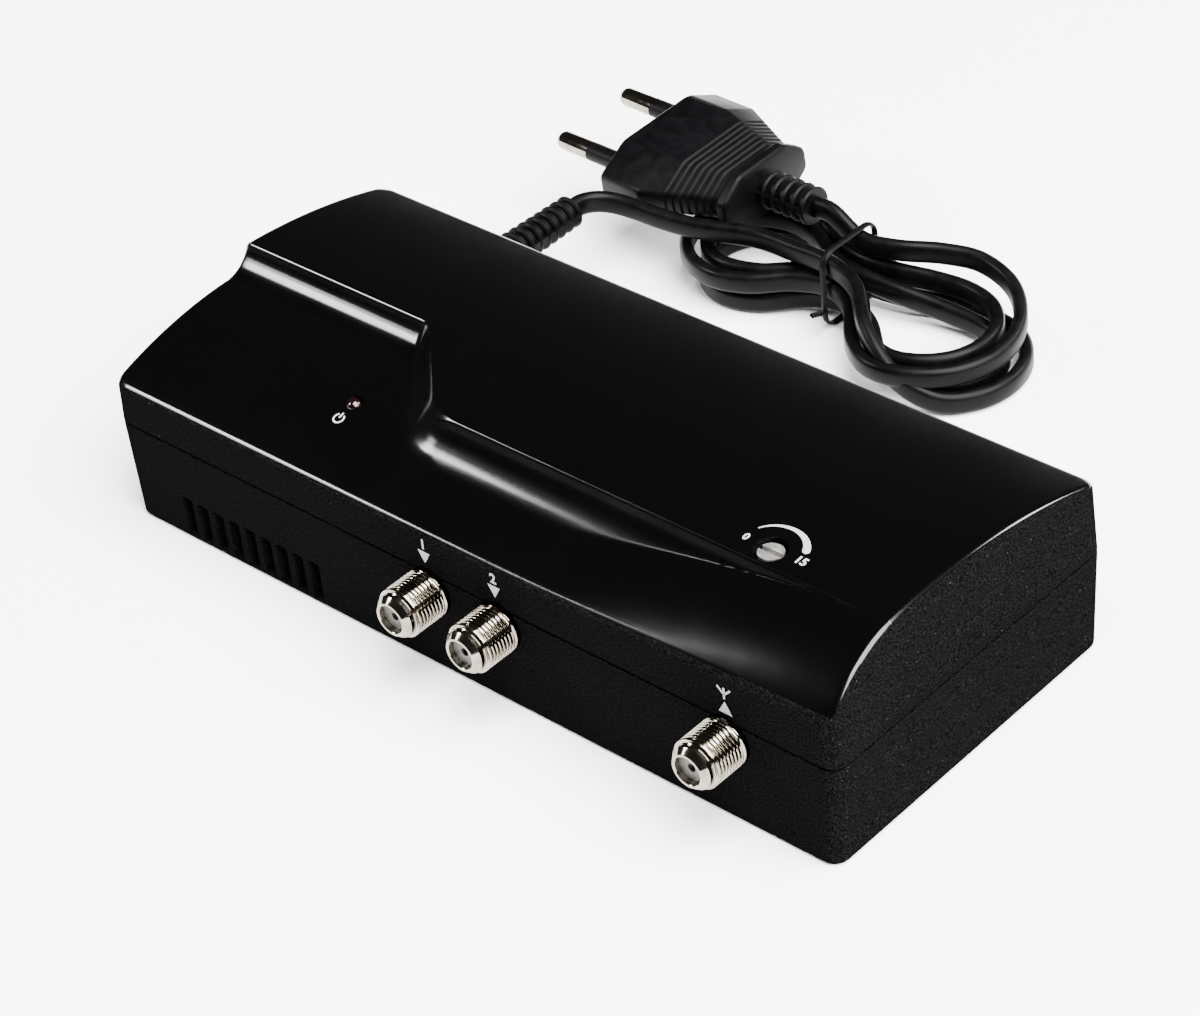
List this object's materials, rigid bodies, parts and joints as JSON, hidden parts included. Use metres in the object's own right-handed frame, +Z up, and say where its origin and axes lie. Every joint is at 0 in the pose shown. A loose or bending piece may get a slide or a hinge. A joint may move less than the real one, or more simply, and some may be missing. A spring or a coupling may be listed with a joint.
{
  "type": "tv signal amplifier",
  "caption": "Mains-powered TV aerial amplifier: low arched black case with threaded coaxial sockets, a gain adjuster and a moulded two-pin lead tied in a hank.",
  "frame": {"origin": "on the standing surface, under the middle of the case", "axes": "+X along the front from the outputs to the antenna socket, -Y out of the front with the sockets, +Z up"},
  "size_m": [0.1744, 0.1617, 0.0408],
  "materials": {
    "case_black": "fine grain",
    "cover_black": "semi-gloss",
    "screw_steel": "zinc plated",
    "board_laminate": "paper laminate",
    "socket_nickel": "nickel plated",
    "socket_insulator": "smooth",
    "contact_brass": "plain",
    "tinned_sheet": "tinned",
    "component_black": "moulded",
    "ferrite": "sintered",
    "pot_blue": "moulded",
    "rotor_metal": "turned",
    "lamp_red": "clear tinted",
    "spacer_white": "moulded",
    "lamination_steel": "varnished",
    "bobbin_nylon": "moulded",
    "winding_tape": "tape over copper",
    "capacitor_sleeve": "shrunk sleeve",
    "heatsink_metal": "plain",
    "fuse_glass": "clear",
    "wire_blue": "smooth",
    "cord_pvc": "smooth",
    "tie_black": "smooth",
    "plug_pvc": "moulded",
    "pin_nickel": "nickel plated"
  },
  "bodies": {
    "amplifier": {"base_tray": "case_black", "top_cover": "cover_black", "case_screws": "screw_steel", "circuit_board": "board_laminate", "board_screws": "screw_steel", "output_1_shell": "socket_nickel", "output_1_insulator": "socket_insulator", "output_1_contact": "contact_brass", "output_2_shell": "socket_nickel", "output_2_insulator": "socket_insulator", "output_2_contact": "contact_brass", "antenna_shell": "socket_nickel", "antenna_insulator": "socket_insulator", "antenna_contact": "contact_brass", "shield_can": "tinned_sheet", "shield_lid": "tinned_sheet", "amplifier_transistor": "component_black", "splitter_core": "ferrite", "gain_control_body": "pot_blue", "power_led": "lamp_red", "led_spacer": "spacer_white", "transformer_core": "lamination_steel", "transformer_bobbin": "bobbin_nylon", "transformer_winding": "winding_tape", "transformer_strap": "tinned_sheet", "rectifier_diodes": "component_black", "filter_capacitor": "capacitor_sleeve", "smoothing_capacitor": "capacitor_sleeve", "voltage_regulator": "component_black", "regulator_heatsink": "heatsink_metal", "mains_fuse": "fuse_glass", "fuse_clips": "tinned_sheet", "mains_wires": "wire_blue", "strain_relief": "plug_pvc", "cord_lead": "cord_pvc", "cord_hank": "cord_pvc", "hank_tie": "tie_black", "plug_body": "plug_pvc", "plug_pins": "pin_nickel", "pin_sleeves": "plug_pvc", "plug_relief": "plug_pvc"},
    "gain_rotor": {"gain_control_rotor": "rotor_metal"}
  },
  "joints": [
    {"name": "gain_turn", "type": "hinge", "parent": "amplifier", "child": "gain_rotor", "pos_m": [0.0562, -0.0156, 0.03], "axis": [0, 0, 1], "range_deg": [-105, 105]}
  ]
}
